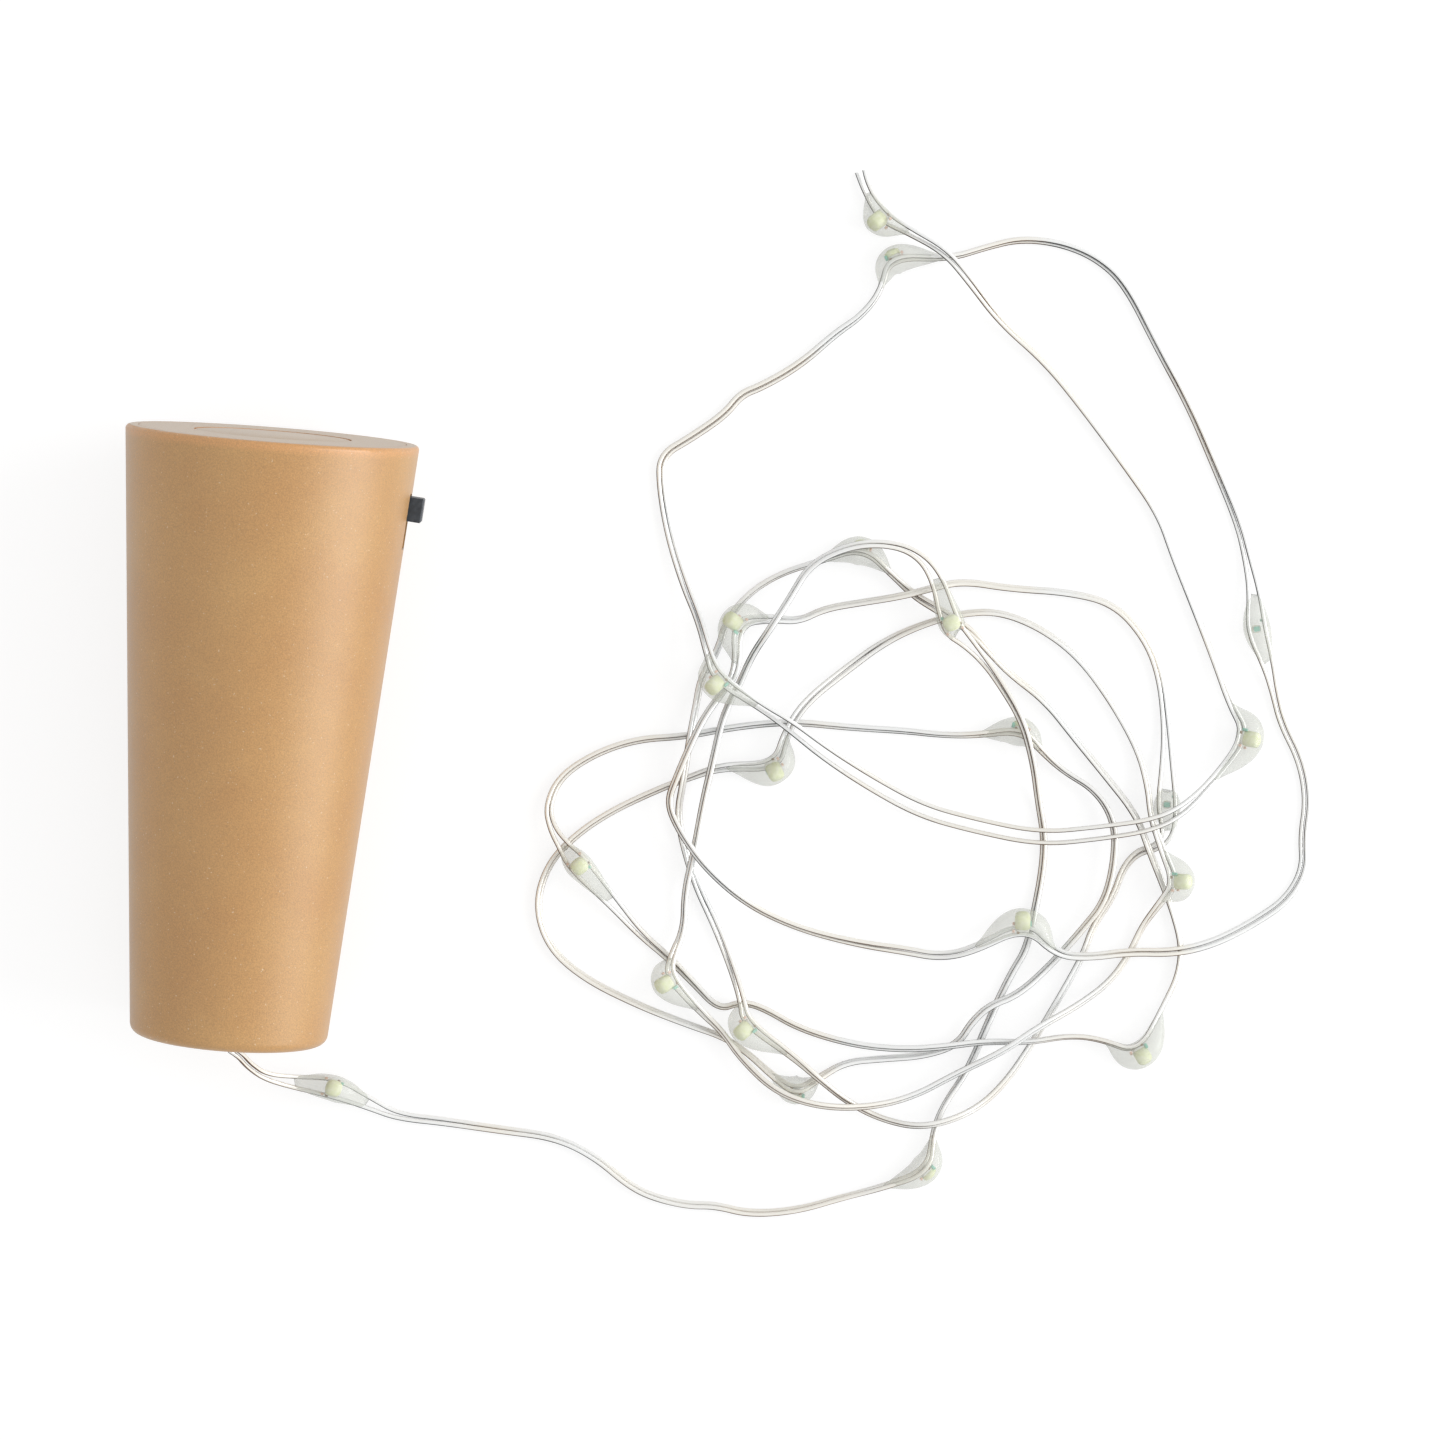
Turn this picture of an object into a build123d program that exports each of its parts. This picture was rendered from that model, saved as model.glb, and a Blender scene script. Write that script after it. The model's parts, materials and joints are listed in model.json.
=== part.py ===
from build123d import *
import math
import os

# A stopper-shaped light for a bottle: a tapered, cork-coloured plug with a slide switch and three
# button cells inside, and a string of twenty lights on two thin wires that leaves its narrow end.
# Lengths are in millimetres. The stopper lies on its side on z = 0 with its wide end towards +Y,
# and the light string lies beside it on the same surface.

os.makedirs("parts", exist_ok=True)

# Stopper body
narrow_diameter = 15.45
body_length = 47.6
wall = 1.4
floor_thickness = 2.5
wide_edge_round = 0.35
narrow_edge_round = 0.8

# End plate that closes the wide end
plate_thickness = 2.4
rim_wall = 1.0
plate_fit = 0.05

# Battery lid, nearly flush with the end plate
lid_margin = 0.2
lid_gap = 0.15
lid_sink = 0.1
lid_edge_round = 0.15
lid_dish_margin = 2.0
lid_dish_depth = 0.2

# Button cells, 11.6 by 5.4
cell_count = 3
cell_diameter = 11.6
cell_height = 5.4
cell_cap_inset = 1.1
cell_cap_height = 0.4
cell_edge_round = 0.3
cell_headroom = 0.3

# Battery tube and its contacts
cell_fit = 0.1
tube_wall = 0.6
tube_floor = 0.9
disc_diameter = 8.0
disc_thickness = 0.3
dome_height = 0.6
dome_foot_diameter = 4.0
dome_top_diameter = 2.0
side_contact_width = 1.6
side_contact_length = 2.2
side_contact_thickness = 0.25
side_contact_place = 1.4
side_contact_clearance = 0.05
window_margin = 0.4
board_pad_length = 4.0
board_pad_width = 3.0
board_pad_depth = 1.3
board_pad_place = 3.4

# Slide switch, with its knob at rest at the wide end of its slot
switch_plate_gap = 0.3
knob_length = 1.9
knob_width = 1.8
knob_projection = 1.05
knob_edge_chamfer = 0.1
switch_travel = 2.0
knob_gap = 0.15
slot_gap = 0.25
switch_clearance = 0.25
switch_length = 6.4
switch_width = 3.0
switch_height = 1.5
switch_skin = 0.35
slider_length = 3.2
slider_width = 2.2
slider_height = 0.5
terminal_count = 3
terminal_spacing = 1.8
terminal_width = 0.5
terminal_length = 0.9
terminal_thickness = 0.2

# Circuit board
board_thickness = 0.6
board_gap = 0.74
board_width = 5.0
board_margin = 0.1
board_tail = 3.6
resistor_length = 1.6
resistor_width = 0.8
resistor_height = 0.45
resistor_gap = 0.9

# Leads inside the body
battery_lead_diameter = 0.8
battery_lead_bend = 1.2
battery_lead_drop = 1.6
lead_hole_gap = 0.1
lead_to_tube_gap = 0.15
string_lead_diameter = 0.6
string_lead_spacing = 2.6
string_lead_seat_spacing = 0.9
string_lead_bend = 2.5
string_lead_straight = 3.0
seal_diameter = 1.6
seal_flange_diameter = 4.0
seal_flange_thickness = 1.0

# Light string: two bare wires side by side, parted by each light
wire_diameter = 0.36
wire_spacing = 0.42
bead_end_spacing = 0.56
light_spacing = 1.20
exit_straight = 0.8
corner_share = 0.45
corners_per_stretch = 12

# Resin bead round each light
bead_end_cover = 0.12
bead_end_height = 0.66
bead_height = 1.60
bead_side_cover = 0.20
channel_gap = 0.04
chip_across = 1.3
chip_along = 1.1
chip_thickness = 0.2
phosphor_across = 1.1
phosphor_thickness = 0.15
chip_gap = 0.02

# Tools for cuts
overrun = 1.0

# Route of the light string as it lies beside the stopper. Each row gives the wires' points on the
# way to one light, then where its bead starts, the light itself, and where its bead ends.
light_string = [
    ([
         (0.6, -25.2, 6.9), (1.2, -26.1, 5.3), (2.4, -27.1, 3.3),
     ],
     [(4.4, -27.5, 1.8), (7.8, -27.7, 1.1), (10.8, -28.8, 0.8)]),
    ([
         (13.1, -29.7, 0.4), (16.9, -29.8, 0.3), (21.3, -30.1, 0.3), (25.8, -30.3, 0.3),
         (29.1, -31.6, 0.3), (32.0, -33.7, 0.3), (34.1, -34.5, 0.3), (36.9, -34.9, 0.3),
         (39.0, -34.7, 0.3), (41.8, -35.2, 0.3), (45.6, -34.6, 0.4), (49.2, -33.2, 0.5),
     ],
     [(52.1, -32.2, 0.7), (55.4, -30.9, 1.2), (55.9, -27.4, 0.7)]),
    ([
         (56.5, -25.3, 0.5), (58.0, -22.7, 0.4), (58.7, -21.0, 0.3), (59.3, -19.1, 0.3),
         (60.2, -16.5, 0.3), (61.2, -14.0, 0.3), (62.1, -12.3, 0.3), (62.5, -9.5, 0.3),
         (62.9, -5.7, 0.3), (62.8, -3.0, 0.3), (62.1, -0.3, 0.4), (61.4, 2.7, 1.5), (60.2, 6.0, 2.6),
         (58.3, 8.7, 2.3), (56.9, 10.4, 1.9),
     ],
     [(55.3, 11.9, 2.2), (53.9, 13.4, 2.4), (52.4, 17.1, 2.3)]),
    ([
         (50.3, 18.9, 2.3), (47.3, 19.2, 2.4), (44.5, 18.4, 2.3), (42.2, 16.8, 1.8),
         (41.0, 14.3, 1.9), (39.6, 11.7, 2.8), (38.3, 9.4, 1.2), (37.5, 7.0, 0.8), (36.4, 4.5, 0.9),
         (35.9, 0.8, 1.5), (35.4, -2.4, 1.2), (35.0, -6.6, 1.1), (34.5, -9.9, 1.0),
         (34.7, -12.9, 0.7),
     ],
     [(33.9, -15.1, 1.4), (33.6, -17.5, 1.4), (36.7, -19.4, 1.0)]),
    ([
         (38.4, -20.7, 1.2), (40.1, -22.8, 1.2), (43.0, -25.1, 2.4), (46.6, -26.0, 2.3),
         (50.6, -25.8, 1.3), (54.1, -24.7, 0.9), (57.4, -22.5, 1.2), (60.8, -20.5, 1.9),
         (63.3, -18.4, 2.1), (66.5, -16.4, 1.1), (69.0, -14.3, 0.5), (70.4, -11.9, 0.4),
         (71.2, -9.6, 0.5),
     ],
     [(72.4, -7.6, 1.4), (74.1, -5.7, 1.5), (72.2, -3.3, 1.5)]),
    ([
         (71.1, -0.9, 1.5), (70.7, 1.6, 1.0), (69.7, 4.5, 0.4), (67.2, 8.2, 0.3), (64.3, 11.5, 0.3),
         (61.1, 13.5, 0.3), (57.8, 14.5, 0.3), (55.0, 14.2, 0.3), (51.9, 13.1, 0.3),
         (48.8, 11.4, 0.3), (45.8, 8.8, 0.5), (42.8, 6.0, 1.2),
     ],
     [(41.5, 3.4, 1.1), (40.9, 0.4, 0.8), (36.7, 0.4, 0.7)]),
    ([
         (34.2, -0.7, 0.4), (31.5, -2.0, 0.4), (28.0, -4.0, 0.3), (25.4, -6.1, 0.3),
         (23.4, -8.6, 0.3), (22.7, -11.9, 0.3), (24.0, -15.2, 0.3), (27.1, -17.5, 0.3),
         (31.7, -19.3, 0.3), (35.8, -20.5, 0.3), (38.6, -21.2, 0.4), (40.7, -22.4, 0.5),
     ],
     [(42.5, -23.8, 0.7), (44.7, -25.2, 1.2), (46.6, -23.7, 0.7)]),
    ([
         (48.5, -22.4, 0.5), (51.5, -21.9, 0.4), (54.7, -21.4, 0.3), (57.3, -20.3, 0.3),
         (58.2, -18.4, 0.9), (59.5, -16.9, 1.2), (61.7, -15.9, 1.0), (64.1, -13.4, 0.5),
         (66.4, -10.3, 0.9), (68.0, -7.9, 1.2), (68.5, -4.7, 1.3), (68.3, -1.5, 1.2),
         (66.6, 0.9, 0.8), (63.9, 2.2, 0.6),
     ],
     [(62.1, 3.6, 0.7), (59.9, 5.8, 1.2), (56.6, 4.5, 0.7)]),
    ([
         (53.8, 4.3, 0.5), (51.0, 4.4, 0.4), (46.6, 4.3, 0.3), (41.8, 4.4, 0.3), (37.4, 3.6, 0.3),
         (33.5, 2.5, 0.3), (29.8, 2.0, 0.3), (26.5, 0.6, 0.3), (23.8, -1.5, 0.4), (23.0, -3.9, 0.6),
         (23.5, -5.6, 1.0),
     ],
     [(24.6, -7.0, 1.3), (25.9, -8.5, 1.3), (28.8, -11.1, 0.9)]),
    ([
         (31.2, -13.5, 0.4), (33.6, -15.2, 0.3), (35.7, -17.0, 0.3), (38.0, -19.1, 0.3),
         (39.7, -18.3, 0.3), (41.5, -18.6, 0.3), (44.6, -20.1, 0.4), (49.1, -21.0, 0.6),
         (53.0, -21.0, 1.0), (56.2, -20.5, 1.2), (59.3, -19.8, 1.2), (62.9, -19.6, 1.1),
         (66.1, -18.8, 0.8),
     ],
     [(68.7, -18.9, 0.7), (72.0, -19.4, 1.1), (73.5, -15.6, 0.7)]),
    ([
         (74.4, -13.3, 0.5), (74.5, -10.9, 0.4), (73.6, -8.3, 0.3), (72.6, -6.2, 0.3),
         (71.2, -3.5, 1.0), (70.0, -0.8, 0.9), (67.2, 2.2, 0.6), (64.6, 4.9, 0.3), (62.0, 7.7, 0.3),
         (59.0, 9.6, 0.6), (57.2, 11.2, 1.0), (55.7, 12.7, 1.2), (53.4, 14.0, 1.1), (50.9, 15.2, 0.5),
     ],
     [(49.1, 16.6, 0.7), (46.4, 18.8, 1.2), (43.0, 17.3, 0.7)]),
    ([
         (40.0, 16.1, 0.5), (37.6, 14.3, 0.4), (36.0, 11.9, 0.3), (35.6, 9.6, 0.3), (34.4, 7.3, 0.3),
         (34.2, 5.1, 0.8), (33.9, 2.3, 1.2), (33.7, -0.9, 1.1), (33.4, -3.6, 0.4), (34.1, -6.2, 0.3),
         (35.4, -9.3, 0.3), (37.2, -12.3, 0.4), (38.7, -15.4, 0.7),
     ],
     [(39.8, -18.1, 1.4), (40.6, -20.4, 1.3), (44.2, -22.2, 1.8)]),
    ([
         (46.4, -23.8, 2.2), (48.8, -25.5, 1.2), (51.5, -26.7, 0.4), (54.6, -27.1, 1.5),
         (57.5, -26.2, 1.4), (59.8, -24.8, 0.5), (61.6, -22.6, 0.3), (63.0, -20.1, 0.3),
         (64.3, -17.5, 0.3), (65.6, -14.8, 0.3), (66.7, -12.3, 0.3), (67.3, -9.9, 0.3),
         (68.7, -7.5, 0.3), (69.3, -5.1, 0.3), (70.4, -3.7, 0.3), (71.8, -3.3, 0.4),
     ],
     [(72.7, -2.1, 0.7), (72.2, 0.7, 1.3), (72.1, 3.4, 0.7)]),
    ([
         (71.8, 6.5, 0.4), (71.0, 10.5, 0.3), (69.5, 13.4, 0.3), (66.8, 15.9, 0.3), (63.1, 16.5, 0.3),
         (58.5, 16.4, 0.3), (54.6, 16.7, 0.4), (52.1, 15.9, 1.0), (49.9, 15.1, 1.5),
         (46.6, 14.3, 1.0), (43.8, 13.6, 0.8), (41.8, 12.4, 1.0),
     ],
     [(39.7, 12.5, 1.3), (36.8, 12.0, 1.6), (37.3, 8.2, 1.8)]),
    ([
         (36.2, 6.3, 1.5), (34.9, 4.2, 2.0), (34.0, 1.9, 2.0), (33.1, -0.8, 1.9), (32.5, -2.9, 1.6),
         (33.8, -5.2, 2.0), (36.1, -7.9, 1.9), (39.6, -10.5, 0.8), (43.9, -12.1, 0.4),
         (48.8, -12.9, 0.3), (52.4, -13.1, 0.4), (55.2, -13.4, 0.6),
     ],
     [(57.7, -12.7, 1.2), (61.5, -10.4, 1.5), (64.5, -12.4, 1.4)]),
    ([
         (67.1, -12.4, 1.3), (70.3, -11.7, 1.2), (73.9, -11.5, 1.2), (77.0, -10.5, 0.8),
         (80.1, -8.6, 0.4), (82.6, -6.6, 0.3), (83.8, -4.0, 0.3), (83.4, -1.4, 0.3), (83.6, 1.5, 0.3),
         (82.8, 4.6, 0.3), (81.0, 7.5, 0.3), (80.2, 9.9, 0.4),
     ],
     [(79.5, 12.0, 0.7), (78.2, 14.8, 1.3), (77.9, 17.7, 0.7)]),
    ([
         (77.1, 20.5, 0.4), (76.2, 23.2, 0.3), (73.9, 27.6, 0.3), (71.5, 32.1, 0.3),
         (68.6, 36.5, 0.3), (65.6, 41.4, 0.3), (63.1, 43.3, 0.3), (60.2, 44.2, 0.3),
         (57.0, 44.3, 0.4), (54.3, 43.4, 0.5),
     ],
     [(51.4, 42.2, 0.7), (46.6, 42.0, 1.2), (46.2, 39.2, 0.7)]),
    ([
         (44.8, 37.1, 0.5), (42.9, 35.6, 0.4), (40.3, 32.9, 0.3), (37.4, 30.9, 0.3),
         (35.7, 30.1, 0.3), (34.6, 28.4, 0.3), (32.0, 26.3, 0.3), (29.7, 24.7, 0.3),
         (30.0, 22.0, 0.3), (31.0, 18.3, 0.4), (32.5, 14.6, 0.9), (33.9, 11.9, 1.8),
     ],
     [(34.8, 9.4, 2.6), (35.4, 6.5, 2.8), (39.4, 5.4, 2.6)]),
    ([
         (41.8, 4.1, 2.4), (44.8, 2.1, 1.7), (48.5, 0.1, 1.0), (52.7, -1.8, 0.6), (56.8, -2.6, 0.9),
         (62.4, -3.3, 1.5), (67.1, -2.4, 2.2), (71.0, -1.5, 2.5), (73.4, -0.2, 2.3),
     ],
     [(75.7, 2.3, 1.3), (78.3, 5.8, 0.9), (76.7, 8.7, 0.7)]),
    ([
         (75.2, 12.0, 0.4), (73.1, 16.3, 0.4), (71.2, 20.1, 0.3), (69.8, 23.3, 0.3),
         (66.8, 26.9, 0.3), (63.3, 30.9, 0.3), (59.8, 34.6, 0.4), (55.9, 37.5, 0.8),
         (53.1, 40.6, 1.9), (51.0, 42.7, 2.2),
     ],
     [(48.0, 44.1, 1.7), (45.5, 44.9, 0.8), (44.3, 47.2, 0.6)]),
]
loose_end = (43.8, 48.6, 0.5)

# Round sizes that follow from the cells
cell_cap_diameter = cell_diameter - 2 * cell_cap_inset
lid_diameter = cell_diameter + 2 * lid_margin
tube_bore_radius = cell_diameter / 2 + cell_fit
tube_radius = tube_bore_radius + tube_wall

# The body is as wide at the switch as the battery tube, the board, the switch and the wall need
switch_base = body_length - plate_thickness - switch_plate_gap - switch_length / 2
switch_stack = board_gap + board_thickness + switch_height + switch_clearance + wall
narrow_radius = narrow_diameter / 2
wide_radius = narrow_radius + (tube_radius + switch_stack - narrow_radius) * body_length / switch_base
lean = math.atan2(wide_radius - narrow_radius, body_length)

# The taper's lowest line lies on the table, so the axis rises towards the wide end by half the taper
along = Vector(0, math.cos(lean), math.sin(lean))
above = Vector(0, -math.sin(lean), math.cos(lean))
side = Vector(1, 0, 0)


def outer_radius(height):
    """Radius of the tapered body at a height above its narrow end."""
    return narrow_radius + (wide_radius - narrow_radius) * height / body_length


# The knob reaches past the widest part of the body, which moves the middle of the whole sideways
knob_height = switch_base + switch_travel / 2
knob_reach = outer_radius(knob_height) + knob_projection * math.cos(lean)
axis_x = -(knob_reach - wide_radius) / 2
narrow_y = -(body_length * math.cos(lean) + (wide_radius - narrow_radius) * math.sin(lean)) / 2
narrow_centre = Vector(axis_x, narrow_y, narrow_radius * math.cos(lean))
stopper_axis = Axis(narrow_centre, along)
lengthwise = Plane(origin=narrow_centre, x_dir=side, z_dir=above)


def inside(aside, up, height):
    """Point of the stopper: to the switch side, upwards, and along the axis."""
    return narrow_centre + side * aside + above * up + along * height


def crosswise(height):
    """Plane square to the stopper's axis at a height above the narrow end."""
    return Plane(origin=inside(0, 0, height), x_dir=side, z_dir=along)


def save(piece, name):
    """Label a finished piece and write it to its own file."""
    piece.part.label = name
    export_step(piece.part, f"parts/{name}.step")


# Heights of the stack inside the body, from the wide end inwards
plate_bottom = body_length - plate_thickness
cells_top = plate_bottom - cell_headroom
cells_bottom = cells_top - cell_count * cell_height
tube_inner_floor = cells_bottom - disc_thickness - dome_height
tube_bottom = tube_inner_floor - tube_floor
plate_seat_radius = wide_radius - rim_wall
mouth_radius = lid_diameter / 2 + lid_gap

# The switch stands square to the tapered wall, on the +X side
wall_out = side * math.cos(lean) - along * math.sin(lean)
wall_up = side * math.sin(lean) + along * math.cos(lean)
wall_plane = Plane(origin=inside(outer_radius(switch_base), 0, switch_base), x_dir=wall_up, z_dir=wall_out)
switch_top = -(wall + switch_clearance)
switch_bottom = switch_top - switch_height
board_bottom = switch_bottom - board_thickness
slot_length = knob_length + switch_travel + 2 * slot_gap
slot_width = knob_width + 2 * slot_gap

# Tapered body, open at the wide end
with BuildPart() as stopper_shell:
    with BuildSketch(lengthwise):
        with BuildLine():
            Polyline(
                (seal_diameter / 2, 0),
                (narrow_radius, 0),
                (wide_radius, body_length),
                (plate_seat_radius, body_length),
                (plate_seat_radius, plate_bottom),
                (outer_radius(plate_bottom) - wall, plate_bottom),
                (outer_radius(floor_thickness) - wall, floor_thickness),
                (seal_diameter / 2, floor_thickness),
                close=True,
            )
        make_face()
        fillet(vertices().sort_by(Axis.X)[-1], radius=wide_edge_round)
        fillet(vertices().group_by(Axis.Y)[0].sort_by(Axis.X)[-1], radius=narrow_edge_round)
    revolve(axis=stopper_axis)
    with BuildSketch(wall_plane):
        Rectangle(slot_length, slot_width)
    extrude(amount=-(wall + overrun), mode=Mode.SUBTRACT)
save(stopper_shell, "stopper_shell")

# Ring-shaped plate pressed into the wide end
with BuildPart() as end_plate:
    with BuildSketch(crosswise(plate_bottom)):
        Circle(plate_seat_radius - plate_fit)
        Circle(mouth_radius, mode=Mode.SUBTRACT)
    extrude(amount=plate_thickness)
save(end_plate, "end_plate")

# Round lid over the cells
lid_thickness = plate_thickness - lid_sink - lid_gap
with BuildPart() as battery_lid:
    with BuildSketch(crosswise(plate_bottom + lid_gap)):
        Circle(lid_diameter / 2)
    extrude(amount=lid_thickness)
    fillet(battery_lid.edges().sort_by(stopper_axis)[-1], radius=lid_edge_round)
    with BuildSketch(crosswise(plate_bottom + lid_gap + lid_thickness)):
        Circle(lid_diameter / 2 - lid_dish_margin)
    extrude(amount=-lid_dish_depth, mode=Mode.SUBTRACT)
save(battery_lid, "battery_lid")


def is_can_rim(edge):
    """Whether a round edge of a button cell belongs to its can, not to its smaller cap."""
    return edge.radius > (cell_diameter / 2 + cell_cap_diameter / 2) / 2


# Button cells, stacked with their flat sides towards the lid
for number in range(cell_count):
    foot = cells_bottom + number * cell_height
    with BuildPart() as button_cell:
        with BuildSketch(crosswise(foot)):
            Circle(cell_cap_diameter / 2)
        extrude(amount=cell_cap_height)
        with BuildSketch(crosswise(foot + cell_cap_height)):
            Circle(cell_diameter / 2)
        extrude(amount=cell_height - cell_cap_height)
        can_rims = button_cell.edges().filter_by(GeomType.CIRCLE).filter_by(is_can_rim)
        fillet(can_rims, radius=cell_edge_round)
    save(button_cell, f"button_cell_{number + 1}")

# Tube that holds the cells, with a pad for the circuit board
window_length = side_contact_length + 2 * window_margin
window_width = side_contact_width + 2 * window_margin
with BuildPart() as battery_tube:
    with BuildSketch(crosswise(tube_bottom)):
        Circle(tube_radius)
    extrude(amount=plate_bottom - tube_bottom)
    with BuildSketch(wall_plane.offset(board_bottom)):
        with Locations((-board_pad_place, 0)):
            Rectangle(board_pad_length, board_pad_width)
    extrude(amount=-board_pad_depth)
    with BuildSketch(crosswise(tube_inner_floor)):
        Circle(tube_bore_radius)
    extrude(amount=plate_bottom - tube_inner_floor + overrun, mode=Mode.SUBTRACT)
    with BuildSketch(crosswise(tube_bottom)):
        Circle(battery_lead_diameter / 2 + lead_hole_gap)
    extrude(amount=tube_floor, mode=Mode.SUBTRACT)
    with BuildSketch(wall_plane.offset(board_bottom)):
        with Locations((side_contact_place, 0)):
            Rectangle(window_length, window_width)
    extrude(amount=-(tube_wall + overrun), mode=Mode.SUBTRACT)
save(battery_tube, "battery_tube")

# Spring disc under the stack of cells
with BuildPart() as negative_contact:
    with BuildSketch(lengthwise):
        with BuildLine():
            Polyline(
                (0, tube_inner_floor),
                (disc_diameter / 2, tube_inner_floor),
                (disc_diameter / 2, tube_inner_floor + disc_thickness),
                (dome_foot_diameter / 2, tube_inner_floor + disc_thickness),
                (dome_top_diameter / 2, cells_bottom),
                (0, cells_bottom),
                close=True,
            )
        make_face()
    revolve(axis=stopper_axis)
save(negative_contact, "negative_contact")

# Side spring from the board to the can of the outer cell
board_radius = outer_radius(switch_base) + board_bottom * math.cos(lean) + side_contact_place * math.sin(lean)
side_contact_depth = board_radius - cell_diameter / 2 - side_contact_clearance
contact_plane = Plane(origin=wall_plane.from_local_coords((0, 0, board_bottom)), x_dir=wall_up, z_dir=above)
with BuildPart() as positive_contact:
    with BuildSketch(contact_plane):
        with Locations((side_contact_place, side_contact_depth / 2)):
            Rectangle(side_contact_length, side_contact_depth)
        with Locations((side_contact_place + side_contact_thickness, side_contact_depth / 2)):
            Rectangle(
                side_contact_length,
                side_contact_depth - 2 * side_contact_thickness,
                mode=Mode.SUBTRACT,
            )
    extrude(amount=side_contact_width / 2, both=True)
save(positive_contact, "positive_contact")

# Circuit board, flat against the tube's pad
board_length = switch_length + board_tail
board_place = -board_tail / 2
with BuildPart() as circuit_board:
    with BuildSketch(wall_plane.offset(board_bottom)):
        with Locations((board_place, 0)):
            Rectangle(board_length, board_width)
    extrude(amount=board_thickness)
save(circuit_board, "circuit_board")

# Resistor on the board's tail
with BuildPart() as series_resistor:
    with BuildSketch(wall_plane.offset(switch_bottom)):
        with Locations((-switch_length / 2 - resistor_gap - resistor_width / 2, 0)):
            Rectangle(resistor_width, resistor_length)
    extrude(amount=resistor_height)
save(series_resistor, "series_resistor")

# Switch housing with a chamber for the slider
chamber_length = slider_length + switch_travel + 2 * knob_gap
with BuildPart() as switch_body:
    with BuildSketch(wall_plane.offset(switch_bottom)):
        Rectangle(switch_length, switch_width)
    extrude(amount=switch_height)
    with BuildSketch(wall_plane.offset(switch_bottom + switch_skin)):
        Rectangle(chamber_length, slider_width + 2 * knob_gap)
    extrude(amount=switch_height - 2 * switch_skin, mode=Mode.SUBTRACT)
    with BuildSketch(wall_plane.offset(switch_top)):
        Rectangle(knob_length + switch_travel + 2 * knob_gap, knob_width + 2 * knob_gap)
    extrude(amount=-2 * switch_skin, mode=Mode.SUBTRACT)
save(switch_body, "switch_body")

# Solder tabs beside the switch
with BuildPart() as switch_terminals:
    with BuildSketch(wall_plane.offset(switch_bottom)):
        with Locations((0, switch_width / 2 + terminal_length / 2)):
            with GridLocations(terminal_spacing, 0, terminal_count, 1):
                Rectangle(terminal_width, terminal_length)
    extrude(amount=terminal_thickness)
save(switch_terminals, "switch_terminals")

# Slider and knob in one moulding
slider_place = switch_travel / 2
with BuildPart() as switch_knob:
    with BuildSketch(wall_plane.offset(switch_bottom + switch_skin + knob_gap)):
        with Locations((slider_place, 0)):
            Rectangle(slider_length, slider_width)
    extrude(amount=slider_height)
    with BuildSketch(wall_plane.offset(switch_bottom + switch_skin + knob_gap)):
        with Locations((slider_place, 0)):
            Rectangle(knob_length, knob_width)
    extrude(amount=knob_projection - switch_bottom - switch_skin - knob_gap)
    knob_tip = switch_knob.faces().sort_by(Axis(narrow_centre, wall_out))[-1]
    chamfer(knob_tip.edges(), length=knob_edge_chamfer)
save(switch_knob, "switch_knob")


def corner_radius(before, here, after):
    """Radius of the arc at a corner: it takes a set share of the shorter run on each side."""
    shorter = min((here - before).length, (after - here).length)
    turn = math.radians((here - before).get_angle(after - here))
    return corner_share * shorter / math.tan(turn / 2)


def arc_middle(before, here, after):
    """Middle of the arc that rounds a corner of a route."""
    inwards = ((before - here).normalized() + (after - here).normalized()).normalized()
    turn = math.radians((here - before).get_angle(after - here))
    return here + inwards * corner_radius(before, here, after) * (1 / math.cos(turn / 2) - 1)


def arc_start(before, here, after):
    """Start of the arc that rounds a corner of a route."""
    shorter = min((here - before).length, (after - here).length)
    return here + (before - here).normalized() * corner_share * shorter


def arc_end(before, here, after):
    """End of the arc that rounds a corner of a route."""
    return arc_start(after, here, before)


def corner_radii(points):
    """Radius of every corner of a route."""
    return [corner_radius(*corner) for corner in zip(points, points[1:], points[2:])]


def rounded_route(points):
    """Straight runs joined by tangent arcs, drawn a stretch at a time between middles of runs."""
    radii = corner_radii(points)
    with BuildLine() as route:
        begin = points[0]
        for first in range(1, len(points) - 1, corners_per_stretch):
            last = min(first + corners_per_stretch, len(points) - 1)
            end = points[-1] if last == len(points) - 1 else (points[last - 1] + points[last]) / 2
            FilletPolyline(begin, *points[first:last], end, radius=radii[first - 1 : last - 1])
            begin = end
    return route.wire()


def square_to(route):
    """Plane across a route at its start."""
    return Plane(origin=route @ 0, z_dir=route % 0)


# Seal in the narrow end, round the point where the wires leave
with BuildPart() as wire_seal:
    with BuildSketch(crosswise(0)):
        Circle(seal_diameter / 2)
    extrude(amount=floor_thickness)
    with BuildSketch(crosswise(floor_thickness)):
        Circle(seal_flange_diameter / 2)
    extrude(amount=seal_flange_thickness)
save(wire_seal, "wire_seal")

# Lead from the spring disc to the board's narrow end
board_end = switch_base - (switch_length / 2 + board_tail) * math.cos(lean) - board_margin
lead_offset = tube_radius + lead_to_tube_gap + battery_lead_diameter / 2
lead_low = tube_bottom - battery_lead_drop
with BuildPart() as battery_lead:
    with BuildLine():
        battery_lead_route = FilletPolyline(
            inside(0, 0, tube_inner_floor),
            inside(0, 0, lead_low),
            inside(lead_offset, 0, lead_low),
            inside(lead_offset, 0, board_end),
            radius=battery_lead_bend,
        )
    with BuildSketch(square_to(battery_lead_route)):
        Circle(battery_lead_diameter / 2)
    sweep()
save(battery_lead, "battery_lead")

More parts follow.
